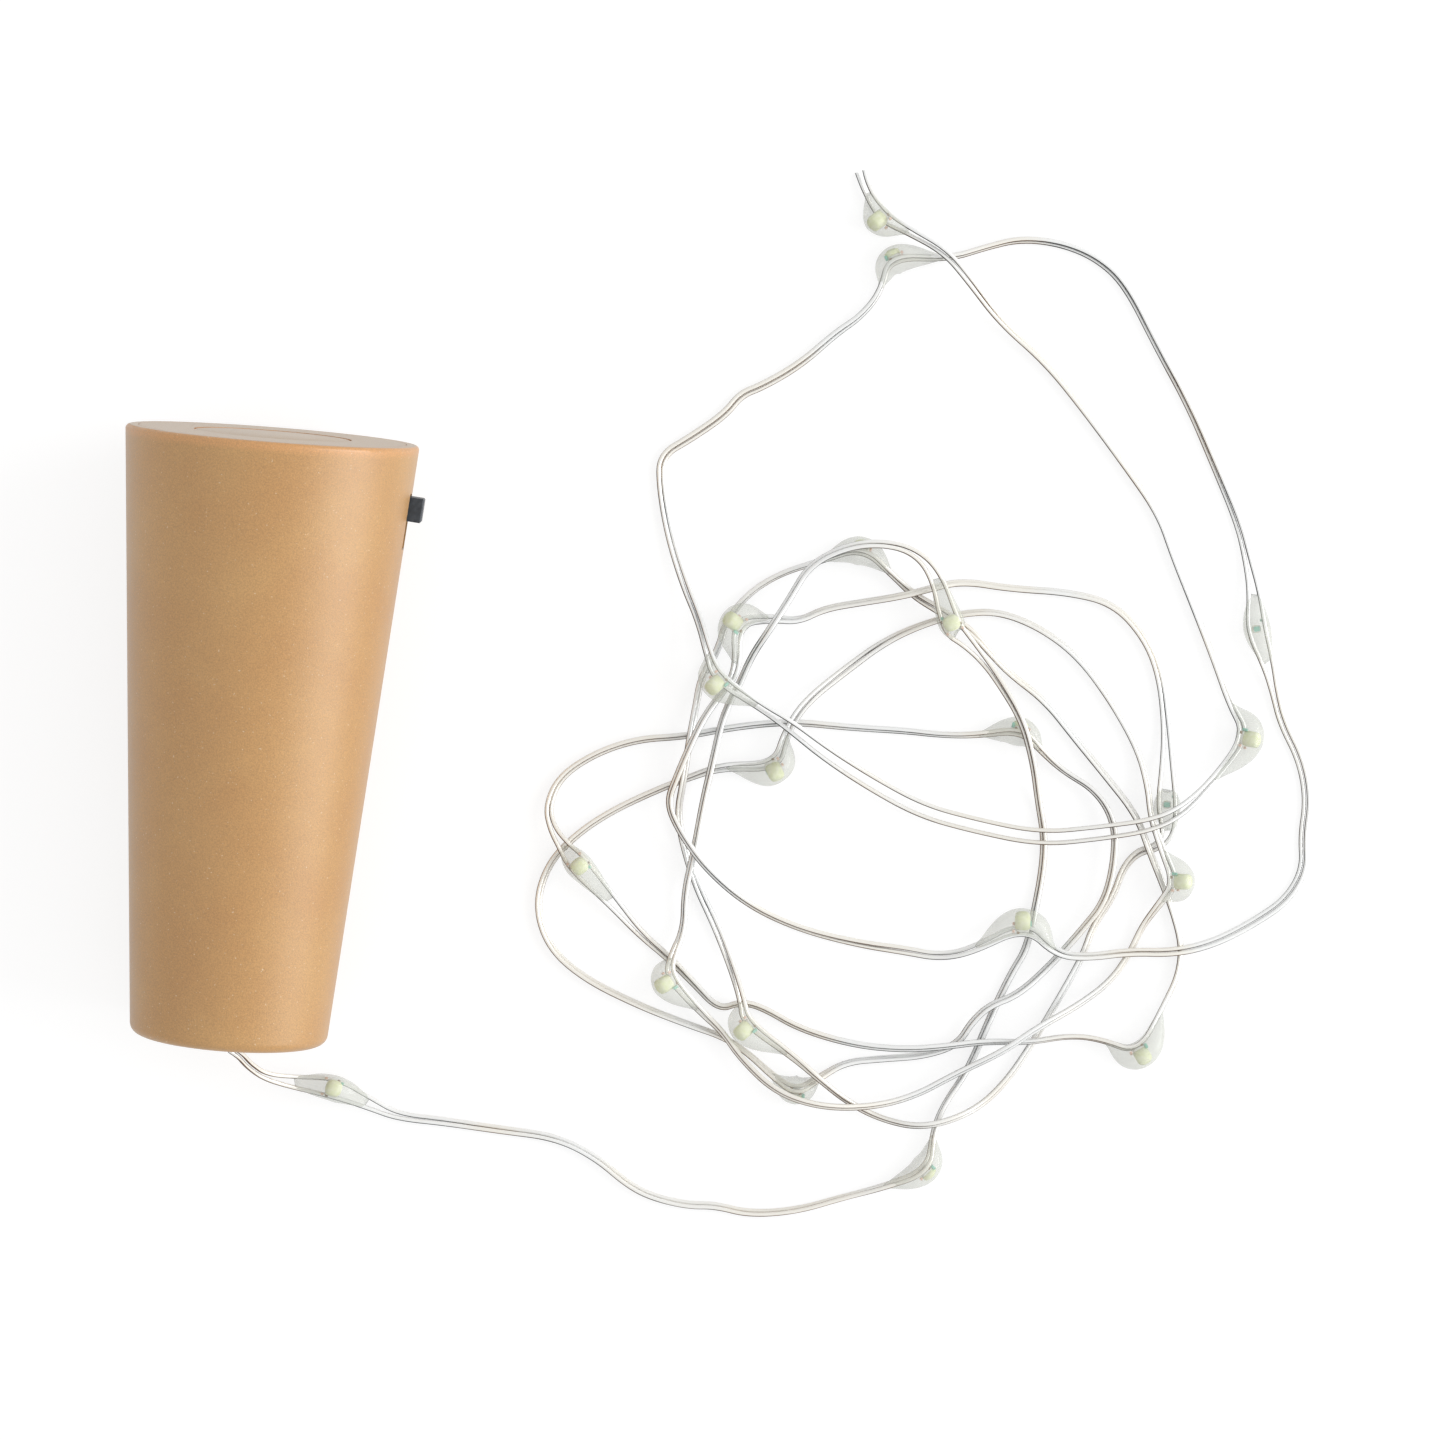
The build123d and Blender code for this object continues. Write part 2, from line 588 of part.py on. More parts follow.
# Leads from the board to the seal, one for each wire of the light string
seal_top = floor_thickness + seal_flange_thickness
for name, hand in (("positive", 1), ("negative", -1)):
    with BuildPart() as string_lead:
        with BuildLine():
            string_lead_route = FilletPolyline(
                inside(lead_offset, hand * string_lead_spacing / 2, board_end),
                inside(lead_offset, hand * string_lead_spacing / 2, lead_low),
                inside(0, hand * string_lead_seat_spacing / 2, seal_top + string_lead_straight),
                inside(0, hand * string_lead_seat_spacing / 2, seal_top),
                radius=string_lead_bend,
            )
        with BuildSketch(square_to(string_lead_route)):
            Circle(string_lead_diameter / 2)
        sweep()
    save(string_lead, f"string_lead_{name}")

# Middle line of the pair of wires, with half the wires' spacing at each point
middle_line = [narrow_centre, narrow_centre - along * exit_straight]
half_spacing = [wire_spacing / 2, wire_spacing / 2]
light_places = []
for stretch, bead in light_string:
    middle_line += [Vector(*point) for point in stretch + bead]
    half_spacing += [wire_spacing / 2] * len(stretch)
    half_spacing += [bead_end_spacing / 2, light_spacing / 2, bead_end_spacing / 2]
    light_places.append(len(middle_line) - 2)
middle_line.append(Vector(*loose_end))
half_spacing.append(bead_end_spacing / 2)


def level_direction(start, end):
    """Unit vector from one point to another, level with the table."""
    return Vector(end.X - start.X, end.Y - start.Y, 0).normalized()


def wire_points(hand):
    """The middle line moved sideways, level with the table, to one wire of the pair."""
    points = []
    for index, point in enumerate(middle_line):
        before = middle_line[max(index - 1, 0)]
        after = middle_line[min(index + 1, len(middle_line) - 1)]
        heading = Vector(0, 0, 0)
        if index > 0:
            heading += level_direction(before, point)
        if index < len(middle_line) - 1:
            heading += level_direction(point, after)
        aside = Vector(-heading.Y, heading.X, 0).normalized()
        points.append(point + aside * hand * half_spacing[index])
    return points


# The two wires, each one unbroken tube
wire_pair = [wire_points(1), wire_points(-1)]
for name, points in zip(("wire_positive", "wire_negative"), wire_pair):
    route = rounded_route(points)
    with BuildPart() as wire:
        with BuildSketch(square_to(route)):
            Circle(wire_diameter / 2)
        sweep(path=route)
    save(wire, name)
    radii = corner_radii(points)
    section = math.pi * (wire_diameter / 2) ** 2
    print(f"{name}: length {route.length:.1f}, radii {min(radii):.2f} to {max(radii):.1f},", end=" ")
    print(f"volume over section times length {wire.part.volume / (section * route.length):.5f}")


def bead_stations(light):
    """Pairs of points on the two wires along one bead, from its start to its end."""
    places = [(light - 1, arc_middle), (light - 1, arc_end)]
    places += [(light, arc_start), (light, arc_middle), (light, arc_end)]
    places += [(light + 1, arc_start), (light + 1, arc_middle)]
    return [tuple(place(*wire[index - 1 : index + 2]) for wire in wire_pair) for index, place in places]


def station_plane(pairs, index):
    """Plane across a bead at one of its stations, with X from wire to wire."""
    plus, minus = pairs[index]
    first = pairs[max(index - 1, 0)]
    last = pairs[min(index + 1, len(pairs) - 1)]
    heading = (last[0] + last[1]) / 2 - (first[0] + first[1]) / 2
    return Plane(origin=(plus + minus) / 2, x_dir=plus - minus, z_dir=heading)


# Drop of clear resin round each light, moulded over both wires and the chip
bead_growth_shares = [0, 0.3, 0.8, 1, 0.8, 0.3, 0]
bead_heights = [bead_end_height + share * (bead_height - bead_end_height) for share in bead_growth_shares]
bead_covers = [bead_end_cover + share * (bead_side_cover - bead_end_cover) for share in bead_growth_shares]
chip_foot = wire_diameter / 2 + chip_gap
phosphor_foot = chip_foot + chip_thickness
chip_planes = []
for number, light in enumerate(light_places):
    pairs = bead_stations(light)
    planes = [station_plane(pairs, index) for index in range(len(pairs))]
    chip_plane = planes[len(planes) // 2]
    chip_planes.append(chip_plane)
    with BuildPart() as led_bead:
        for plane, pair, height, cover in zip(planes, pairs, bead_heights, bead_covers):
            half_width = (pair[0] - pair[1]).length / 2 + wire_diameter / 2 + cover
            with BuildSketch(plane):
                Ellipse(half_width, height / 2)
        loft(ruled=True)
        with BuildSketch(chip_plane):
            with Locations((0, chip_foot + chip_thickness / 2)):
                Rectangle(chip_across, chip_thickness)
            with Locations((0, phosphor_foot + phosphor_thickness / 2)):
                Rectangle(phosphor_across, phosphor_thickness)
        extrude(amount=chip_along / 2, both=True, mode=Mode.SUBTRACT)
        for points in wire_pair:
            start = (points[light - 2] + points[light - 1]) / 2
            end = (points[light + 1] + points[light + 2]) / 2
            corners = points[light - 1 : light + 2]
            radii = corner_radii(points[light - 2 : light + 3])
            with BuildLine():
                channel_route = FilletPolyline(start, *corners, end, radius=radii)
            with BuildSketch(square_to(channel_route)):
                Circle(wire_diameter / 2 + channel_gap)
            sweep(path=channel_route, mode=Mode.SUBTRACT)
    save(led_bead, f"led_bead_{number + 1:02d}")

# Light chips across the wires
with BuildPart() as led_chips:
    for chip_plane in chip_planes:
        with BuildSketch(chip_plane):
            with Locations((0, chip_foot + chip_thickness / 2)):
                Rectangle(chip_across, chip_thickness)
        extrude(amount=chip_along / 2, both=True)
save(led_chips, "led_chips")

# Phosphor blocks on the chips
with BuildPart() as led_phosphors:
    for chip_plane in chip_planes:
        with BuildSketch(chip_plane):
            with Locations((0, phosphor_foot + phosphor_thickness / 2)):
                Rectangle(phosphor_across, phosphor_thickness)
        extrude(amount=chip_along / 2, both=True)
save(led_phosphors, "led_phosphors")
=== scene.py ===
import bpy
import bmesh
import json
import math
from mathutils import Matrix, Vector, noise


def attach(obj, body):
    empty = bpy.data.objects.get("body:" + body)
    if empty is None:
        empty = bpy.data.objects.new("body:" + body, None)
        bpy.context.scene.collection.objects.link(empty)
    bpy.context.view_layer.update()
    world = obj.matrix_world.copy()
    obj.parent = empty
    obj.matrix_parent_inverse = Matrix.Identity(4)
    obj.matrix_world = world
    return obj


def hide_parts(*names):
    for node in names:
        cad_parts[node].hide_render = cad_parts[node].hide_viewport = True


# A cork-coloured bottle stopper with a switch, and its string of twenty lights on two thin wires.
# Lengths are in metres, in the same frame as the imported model.
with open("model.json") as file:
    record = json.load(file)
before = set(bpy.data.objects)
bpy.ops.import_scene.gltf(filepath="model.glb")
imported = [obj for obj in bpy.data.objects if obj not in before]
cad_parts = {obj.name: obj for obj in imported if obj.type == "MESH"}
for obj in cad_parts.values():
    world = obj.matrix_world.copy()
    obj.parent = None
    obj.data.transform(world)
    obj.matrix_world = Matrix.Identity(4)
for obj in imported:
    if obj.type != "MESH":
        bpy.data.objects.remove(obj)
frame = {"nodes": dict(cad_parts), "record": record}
bpy.context.view_layer.update()
nodes = frame["nodes"]
scene = bpy.context.scene

# Wires
wire_diameter = 0.00036
wire_spacing = 0.00042
bead_end_spacing = 0.0008
light_spacing = 0.0015
parted_spacing = 0.001
exit_straight = 0.0008

# Resin beads. Where the light stands on the outer side of the wires, the resin bulges with it.
bead_rings = 37
bead_sides = 24
bead_squareness = 0.85
bead_rounding = 1.4
bead_end_inset = 0.00014
bead_side_cover = 0.00022
bead_end_height = 0.0003
bead_height = 0.0022
bead_bulge = 0.00075
low_bead_height = 0.0023
low_bead_bulge = 0.0001
end_hollow = 0.0004
end_hollow_sharpness = 6
wobble_share = 0.05
wobble_step = 3.7
wobble_pace = 3
resin_above_floor = 0.00003

# Lights
chip_across = 0.0013
chip_along = 0.0011
chip_thickness = 0.0002
chip_gap = 0.00002
back_mark_across = 0.000484
back_mark_along = 0.000396
phosphor_across = 0.0013
phosphor_along = 0.00124
phosphor_thickness = 0.0011
phosphor_crown = 0.00012
low_phosphor_thickness = 0.00045
mark_size = 0.00022
mark_overhang = 0.000066
pad_size = 0.0002
pad_overhang = 0.00016
solder_size = 0.00024
solder_height = 0.0002232
solder_crown = 0.00003
solder_offset = 0.00033
hidden_size_share = 0.5
chip_corner_share = 0.22
phosphor_corner_share = 0.38

# Stopper
wide_radius = 0.011452
narrow_radius = 0.007725
body_length = 0.0476
# Width of the band along the wide end's rim where a painted glow of light brightens the plastic
rim_glow_band = 0.0009
lid_radius = 0.00613
lid_sink = 0.00003
lid_thickness = 0.0022
lid_edge_round = 0.0001
lid_steps = 96
lean = math.atan2(wide_radius - narrow_radius, body_length)
along = Vector((0, math.cos(lean), math.sin(lean)))
narrow_centre = Vector((-0.000332, -0.023873, 0.007701))

# Route of the light string. Each row gives the wires' points on the way to one light, then where
# its bead starts, the light itself, and where its bead ends.
light_string = [
    (
        [(0.0006, -0.0252, 0.0069), (0.0012, -0.0261, 0.0053), (0.0024, -0.0271, 0.0033)],
        [(0.0044, -0.0275, 0.0018), (0.0078, -0.0277, 0.0011), (0.0108, -0.0288, 0.0008)],
    ),
    (
        [(0.0131, -0.0297, 0.0004), (0.0169, -0.0298, 0.0003), (0.0213, -0.0301, 0.0003),
         (0.0258, -0.0303, 0.0004), (0.0291, -0.0316, 0.0004), (0.032, -0.0337, 0.0004),
         (0.0341, -0.0345, 0.0004), (0.0369, -0.0349, 0.0004), (0.039, -0.0347, 0.0004),
         (0.0418, -0.0352, 0.0004), (0.0456, -0.0346, 0.0004), (0.0492, -0.0332, 0.0005)],
        [(0.0521, -0.0322, 0.0007), (0.0558, -0.0305, 0.0012), (0.0559, -0.0274, 0.0007)],
    ),
    (
        [(0.0565, -0.0253, 0.0005), (0.058, -0.0227, 0.0004), (0.0587, -0.021, 0.0004),
         (0.0593, -0.0191, 0.0004), (0.0602, -0.0165, 0.0004), (0.0612, -0.014, 0.0004),
         (0.0621, -0.0123, 0.0004), (0.0625, -0.0095, 0.0004), (0.0629, -0.0057, 0.0004),
         (0.0628, -0.003, 0.0004), (0.0621, -0.0003, 0.0004), (0.0614, 0.0027, 0.0017),
         (0.0602, 0.006, 0.0028), (0.0583, 0.0087, 0.0023), (0.0569, 0.0104, 0.0019)],
        [(0.0553, 0.0119, 0.0022), (0.0539, 0.0129, 0.0024), (0.0524, 0.0171, 0.0023)],
    ),
    (
        [(0.0503, 0.0189, 0.0023), (0.0473, 0.0192, 0.0025), (0.0445, 0.0184, 0.0024),
         (0.0422, 0.0168, 0.0018), (0.041, 0.0143, 0.0019), (0.0396, 0.0117, 0.0028),
         (0.0383, 0.0094, 0.0012), (0.0375, 0.007, 0.0008), (0.0364, 0.0045, 0.0009),
         (0.0359, 0.0008, 0.0016), (0.0354, -0.0024, 0.0013), (0.035, -0.0066, 0.0012),
         (0.0345, -0.0099, 0.0011), (0.0347, -0.0129, 0.0007)],
        [(0.0339, -0.0151, 0.0014), (0.0338, -0.0167, 0.0014), (0.0367, -0.0194, 0.001)],
    ),
    (
        [(0.0384, -0.0207, 0.0012), (0.0401, -0.0228, 0.0012), (0.043, -0.0251, 0.0024),
         (0.0466, -0.026, 0.0026), (0.0506, -0.0258, 0.0016), (0.0541, -0.0247, 0.0009),
         (0.0574, -0.0225, 0.0012), (0.0608, -0.0205, 0.0019), (0.0633, -0.0184, 0.0021),
         (0.0665, -0.0164, 0.0011), (0.069, -0.0143, 0.0005), (0.0704, -0.0119, 0.0004),
         (0.0712, -0.0096, 0.0005)],
        [(0.0724, -0.0076, 0.0015), (0.0735, -0.0059, 0.0016), (0.0722, -0.0033, 0.0015)],
    ),
    (
        [(0.0711, -0.0009, 0.0015), (0.0707, 0.0016, 0.001), (0.0697, 0.0045, 0.0004),
         (0.0672, 0.0082, 0.0004), (0.0643, 0.0115, 0.0004), (0.0611, 0.0135, 0.0004),
         (0.0578, 0.0145, 0.0004), (0.055, 0.0142, 0.0004), (0.0519, 0.0131, 0.0004),
         (0.0488, 0.0114, 0.0003), (0.0458, 0.0088, 0.0005), (0.0428, 0.006, 0.0013)],
        [(0.0415, 0.0034, 0.0012), (0.041, 0.0007, 0.0008), (0.0367, 0.0004, 0.0007)],
    ),
    (
        [(0.0342, -0.0007, 0.0004), (0.0315, -0.002, 0.0004), (0.028, -0.004, 0.0004),
         (0.0254, -0.0061, 0.0004), (0.0234, -0.0086, 0.0004), (0.0227, -0.0119, 0.0004),
         (0.024, -0.0152, 0.0004), (0.0271, -0.0175, 0.0004), (0.0317, -0.0193, 0.0004),
         (0.0358, -0.0205, 0.0004), (0.0386, -0.0212, 0.0004), (0.0407, -0.0224, 0.0005)],
        [(0.0425, -0.0238, 0.0007), (0.0447, -0.0252, 0.0012), (0.0466, -0.0237, 0.0007)],
    ),
    (
        [(0.0485, -0.0224, 0.0005), (0.0515, -0.0219, 0.0004), (0.0547, -0.0214, 0.0004),
         (0.0573, -0.0203, 0.0004), (0.0582, -0.0184, 0.0009), (0.0595, -0.0169, 0.0013),
         (0.0617, -0.0159, 0.0011), (0.0641, -0.0134, 0.0005), (0.0664, -0.0103, 0.0009),
         (0.068, -0.0079, 0.0012), (0.0685, -0.0047, 0.0013), (0.0683, -0.0015, 0.0012),
         (0.0666, 0.0009, 0.0008), (0.0639, 0.0022, 0.0006)],
        [(0.0621, 0.0036, 0.0007), (0.0603, 0.0053, 0.0012), (0.0566, 0.0045, 0.0007)],
    ),
    (
        [(0.0538, 0.0043, 0.0005), (0.051, 0.0044, 0.0004), (0.0466, 0.0043, 0.0004),
         (0.0418, 0.0044, 0.0004), (0.0374, 0.0036, 0.0004), (0.0335, 0.0025, 0.0004),
         (0.0298, 0.002, 0.0004), (0.0265, 0.0006, 0.0004), (0.0238, -0.0015, 0.0004),
         (0.023, -0.0039, 0.0006), (0.0235, -0.0056, 0.001)],
        [(0.0246, -0.007, 0.0013), (0.0257, -0.0082, 0.0013), (0.0288, -0.0111, 0.0009)],
    ),
    (
        [(0.0312, -0.0135, 0.0004), (0.0336, -0.0152, 0.0003), (0.0357, -0.017, 0.0004),
         (0.038, -0.0191, 0.0004), (0.0397, -0.0183, 0.0004), (0.0415, -0.0186, 0.0004),
         (0.0446, -0.0201, 0.0004), (0.0491, -0.021, 0.0006), (0.053, -0.021, 0.001),
         (0.0562, -0.0205, 0.0012), (0.0593, -0.0198, 0.0012), (0.0629, -0.0196, 0.0012),
         (0.0661, -0.0188, 0.0009)],
        [(0.0687, -0.0189, 0.0007), (0.0717, -0.0198, 0.0011), (0.0735, -0.0156, 0.0007)],
    ),
    (
        [(0.0744, -0.0133, 0.0005), (0.0745, -0.0109, 0.0004), (0.0736, -0.0083, 0.0004),
         (0.0726, -0.0062, 0.0004), (0.0712, -0.0035, 0.0011), (0.07, -0.0008, 0.001),
         (0.0672, 0.0022, 0.0006), (0.0646, 0.0049, 0.0004), (0.062, 0.0077, 0.0004),
         (0.059, 0.0096, 0.0006), (0.0572, 0.0112, 0.001), (0.0557, 0.0127, 0.0012),
         (0.0534, 0.014, 0.0011), (0.0509, 0.0152, 0.0005)],
        [(0.0491, 0.0166, 0.0007), (0.0464, 0.0188, 0.0012), (0.043, 0.0173, 0.0007)],
    ),
    (
        [(0.04, 0.0161, 0.0005), (0.0376, 0.0143, 0.0004), (0.036, 0.0119, 0.0004),
         (0.0356, 0.0096, 0.0004), (0.0344, 0.0073, 0.0004), (0.0342, 0.0051, 0.0008),
         (0.0339, 0.0023, 0.0014), (0.0337, -0.0009, 0.0013), (0.0334, -0.0036, 0.0005),
         (0.0341, -0.0062, 0.0004), (0.0354, -0.0093, 0.0003), (0.0372, -0.0123, 0.0004),
         (0.0387, -0.0154, 0.0007)],
        [(0.0398, -0.0181, 0.0016), (0.0402, -0.0198, 0.0015), (0.0442, -0.0222, 0.0018)],
    ),
    (
        [(0.0464, -0.0238, 0.0023), (0.0488, -0.0255, 0.0013), (0.0515, -0.0267, 0.0004),
         (0.0546, -0.0271, 0.0016), (0.0575, -0.0262, 0.0015), (0.0598, -0.0248, 0.0005),
         (0.0616, -0.0226, 0.0004), (0.063, -0.0201, 0.0004), (0.0643, -0.0175, 0.0004),
         (0.0656, -0.0148, 0.0004), (0.0667, -0.0123, 0.0004), (0.0673, -0.0099, 0.0004),
         (0.0687, -0.0075, 0.0004), (0.0693, -0.0051, 0.0004), (0.0704, -0.0037, 0.0003),
         (0.0718, -0.0033, 0.0004)],
        [(0.0727, -0.0021, 0.0007), (0.0723, 0.0001, 0.0013), (0.0721, 0.0034, 0.0007)],
    ),
    (
        [(0.0718, 0.0065, 0.0004), (0.071, 0.0105, 0.0003), (0.0695, 0.0134, 0.0004),
         (0.0668, 0.0159, 0.0004), (0.0631, 0.0165, 0.0004), (0.0585, 0.0164, 0.0004),
         (0.0546, 0.0167, 0.0004), (0.0521, 0.0159, 0.0011), (0.0499, 0.0151, 0.0016),
         (0.0466, 0.0143, 0.001), (0.0438, 0.0136, 0.0008), (0.0418, 0.0124, 0.001)],
        [(0.0397, 0.0125, 0.0013), (0.0368, 0.012, 0.0016), (0.0373, 0.0082, 0.0018)],
    ),
    (
        [(0.0362, 0.0063, 0.0015), (0.0349, 0.0042, 0.002), (0.034, 0.0019, 0.0022),
         (0.0331, -0.0008, 0.0021), (0.0325, -0.0029, 0.0016), (0.0338, -0.0052, 0.002),
         (0.0361, -0.0079, 0.0019), (0.0396, -0.0105, 0.0008), (0.0439, -0.0121, 0.0004),
         (0.0488, -0.0129, 0.0003), (0.0524, -0.0131, 0.0004), (0.0552, -0.0134, 0.0006)],
        [(0.0577, -0.0127, 0.0012), (0.0618, -0.0101, 0.0016), (0.0645, -0.0124, 0.0016)],
    ),
    (
        [(0.0671, -0.0124, 0.0015), (0.0703, -0.0117, 0.0012), (0.0739, -0.0115, 0.0012),
         (0.077, -0.0105, 0.0008), (0.0801, -0.0086, 0.0004), (0.0826, -0.0066, 0.0003),
         (0.0838, -0.004, 0.0003), (0.0834, -0.0014, 0.0003), (0.0836, 0.0015, 0.0003),
         (0.0828, 0.0046, 0.0003), (0.081, 0.0075, 0.0003), (0.0802, 0.0099, 0.0004)],
        [(0.0795, 0.012, 0.0007), (0.0782, 0.0148, 0.0013), (0.0779, 0.0177, 0.0007)],
    ),
    (
        [(0.0771, 0.0205, 0.0004), (0.0762, 0.0232, 0.0003), (0.0739, 0.0276, 0.0003),
         (0.0715, 0.0321, 0.0004), (0.0686, 0.0365, 0.0004), (0.0656, 0.0414, 0.0004),
         (0.0631, 0.0433, 0.0004), (0.0602, 0.0442, 0.0004), (0.057, 0.0443, 0.0004),
         (0.0543, 0.0434, 0.0005)],
        [(0.0514, 0.0422, 0.0007), (0.0466, 0.042, 0.0012), (0.0462, 0.0392, 0.0007)],
    ),
    (
        [(0.0448, 0.0371, 0.0005), (0.0429, 0.0356, 0.0004), (0.0403, 0.0329, 0.0003),
         (0.0374, 0.0309, 0.0003), (0.0357, 0.0301, 0.0003), (0.0346, 0.0284, 0.0003),
         (0.032, 0.0263, 0.0003), (0.0297, 0.0247, 0.0003), (0.03, 0.022, 0.0003),
         (0.031, 0.0183, 0.0004), (0.0325, 0.0146, 0.0009), (0.0339, 0.0119, 0.0018)],
        [(0.0348, 0.0094, 0.0026), (0.0357, 0.0074, 0.0028), (0.0394, 0.0054, 0.0026)],
    ),
    (
        [(0.0418, 0.0041, 0.0024), (0.0448, 0.0021, 0.0017), (0.0485, 0.0001, 0.001),
         (0.0527, -0.0018, 0.0006), (0.0568, -0.0026, 0.0009), (0.0624, -0.0033, 0.0015),
         (0.0671, -0.0024, 0.0022), (0.071, -0.0015, 0.0025), (0.0734, -0.0002, 0.0023)],
        [(0.0757, 0.0023, 0.0013), (0.0783, 0.0063, 0.0009), (0.0767, 0.0087, 0.0007)],
    ),
    (
        [(0.0752, 0.012, 0.0004), (0.0731, 0.0163, 0.0004), (0.0712, 0.0201, 0.0004),
         (0.0698, 0.0233, 0.0004), (0.0668, 0.0269, 0.0004), (0.0633, 0.0309, 0.0004),
         (0.0598, 0.0346, 0.0004), (0.0559, 0.0375, 0.0008), (0.0531, 0.0406, 0.0019),
         (0.051, 0.0427, 0.0022)],
        [(0.048, 0.0441, 0.0017), (0.0459, 0.0451, 0.0008), (0.0443, 0.0472, 0.0007)],
    ),
]
loose_end = (0.0438, 0.0486, 0.0005)

# Turn of the pair of wires about its own line at each light, in degrees: 0 lays the light on top of
# the wires, 90 turns it to the outer side of the bend, and 180 lays it underneath them.
light_turns = [8, 100, 0, 65, 65, 60, 105, 105, 0, 80, 100, 65, 180, 60, 65, 175, 100, 60, 65, 60]
low_turn = 90
hidden_turn = 150

# Turn of the pair in the stretch that leads to each light, in degrees: 0 lays both wires flat, a
# positive turn puts the left one on top. It goes over to the light's turn in a few points.
stretch_turns = [0, -50, -60, 60, 60, 60, -60, -60, -60, 60, 60, -60, 60, 60, 60, -20, -55, -35, 5, 65]
turn_fade_shares = [1, 1, 0.7, 0.4, 0.15]
straight_points = 2
parted_stretch = 19

# How far the resin of some beads reaches from their light towards the two ends of their stretch.
# In all the others it reaches the whole way.
resin_reach_shares = {3: (0.5, 1.0), 13: (1.0, 0.45), 20: (1.0, 0.9)}

# Outlines of a small block: its levels' widths and heights, its narrow top, and its corners' steps
block_level_shares = ((1, 0), (1, 0.7), (0.95, 0.9), (0.8, 1))
block_top_share = 0.45
corner_steps = 3

# Places between the points of the route: how far to look along it for its heading
look_ahead = 0.2

# Sockets of a colour mix
mix_factor, mix_first, mix_second, mix_result = 0, 6, 7, 2


def middle_route():
    """The pair's middle line, half its spacing at each point, and each light's place."""
    points = [narrow_centre, narrow_centre - along * exit_straight]
    halves = [wire_spacing / 2, wire_spacing / 2]
    lights = []
    for number, (stretch, bead) in enumerate(light_string, 1):
        points += [Vector(point) for point in stretch + bead]
        spacing = parted_spacing if number == parted_stretch else wire_spacing
        halves += [spacing / 2] * len(stretch)
        halves += [bead_end_spacing / 2, light_spacing / 2, bead_end_spacing / 2]
        lights.append(len(points) - 2)
    points.append(Vector(loose_end))
    halves.append(bead_end_spacing / 2)
    return points, halves, lights


def pair_turns(points, lights):
    """The pair's turn at each point, in radians."""
    turns = [0.0] * len(points)
    firsts = [straight_points] + [light + 2 for light in lights]
    for first, light, turn in zip(firsts, lights, stretch_turns):
        turns[first:light - 1] = [turn] * (light - 1 - first)
    for light, turn in zip(lights, light_turns):
        before = points[light] - points[light - 1]
        after = points[light + 1] - points[light]
        bend = math.copysign(1, before.x * after.y - before.y * after.x)
        tilt = bend * (turn if turn <= low_turn else turn - 180)
        for step, share in enumerate(turn_fade_shares):
            for place in {light - step, light + step}:
                if straight_points < place < len(points):
                    turns[place] += (tilt - turns[place]) * share
    return [math.radians(max(-90, min(90, turn))) for turn in turns]


def level(vector):
    """Unit vector along the table."""
    return Vector((vector.x, vector.y, 0)).normalized()


def wire_points(hand, points, halves, turns):
    """Control points of one wire of the pair: hand is 1 for the left wire and -1 for the right one."""
    placed = []
    for index, point in enumerate(points):
        heading = Vector((0, 0, 0))
        if index > 0:
            heading += level(point - points[index - 1])
        if index < len(points) - 1:
            heading += level(points[index + 1] - point)
        aside = Vector((-heading.y, heading.x, 0)).normalized()
        half, turn = hand * halves[index], turns[index]
        placed.append(point + aside * half * math.cos(turn) + Vector((0, 0, half * math.sin(turn))))
    return placed


def link(piece):
    """Puts an object into the scene."""
    scene.collection.objects.link(piece)
    return piece


def wire_curve(name, points):
    """A smooth line through a wire's control points. Each point's radius is the wire's own."""
    curve = bpy.data.curves.new(name, "CURVE")
    curve.dimensions = "3D"
    curve.resolution_u = 8
    spline = curve.splines.new("NURBS")
    spline.points.add(len(points) - 1)
    for place, point in zip(spline.points, points):
        place.co = (*point, 1)
        place.radius = wire_diameter / 2
    spline.order_u = 3
    spline.use_endpoint_u = True
    curve.use_fill_caps = True
    return link(bpy.data.objects.new(name, curve))


def line_of(wire):
    """Points of a wire's own smooth line, taken before it is given its thickness."""
    bpy.context.view_layer.update()
    mesh = bpy.data.meshes.new_from_object(wire)
    line = [vertex.co.copy() for vertex in mesh.vertices]
    bpy.data.meshes.remove(mesh)
    return line


def mesh_piece(name, bm, smooth=True):
    """A mesh object made from a bmesh."""
    bmesh.ops.recalc_face_normals(bm, faces=bm.faces)
    mesh = bpy.data.meshes.new(name)
    bm.to_mesh(mesh)
    bm.free()
    if smooth:
        mesh.shade_smooth()
    return link(bpy.data.objects.new(name, mesh))


# The two wires. A bevel of 1 gives each wire the radius of its points.
points, halves, lights = middle_route()
turns = pair_turns(points, lights)
wires, lines = [], []
for name, hand in (("string_wire_positive", 1), ("string_wire_negative", -1)):
    wire = wire_curve(name, wire_points(hand, points, halves, turns))
    lines.append(line_of(wire))
    wire.data.bevel_depth = 1
    wire.data.bevel_resolution = 3
    wires.append(wire)
for wire, node in zip(wires, ("wire_positive", "wire_negative")):
    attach(wire, "root")
    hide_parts(node)


def line_point(line, place):
    """Point of a wire's line at a place, counted in control points. Its spans join half way."""
    share = min(max((place - 0.5) / (len(points) - 2), 0), 1)
    index = share * (len(line) - 1)
    low = min(int(index), len(line) - 2)
    return line[low].lerp(line[low + 1], index - low)


def pair_frame(place):
    """Middle, sideways, upwards and heading directions of the pair at a place, and half its spacing."""
    plus, minus = (line_point(line, place) for line in lines)
    ahead = sum((line_point(line, place + look_ahead) for line in lines), Vector()) / 2
    behind = sum((line_point(line, place - look_ahead) for line in lines), Vector()) / 2
    heading = (ahead - behind).normalized()
    aside = plus - minus
    half = aside.length / 2
    aside = (aside - heading * aside.dot(heading)).normalized()
    return (plus + minus) / 2, aside, heading.cross(aside).normalized(), heading, half


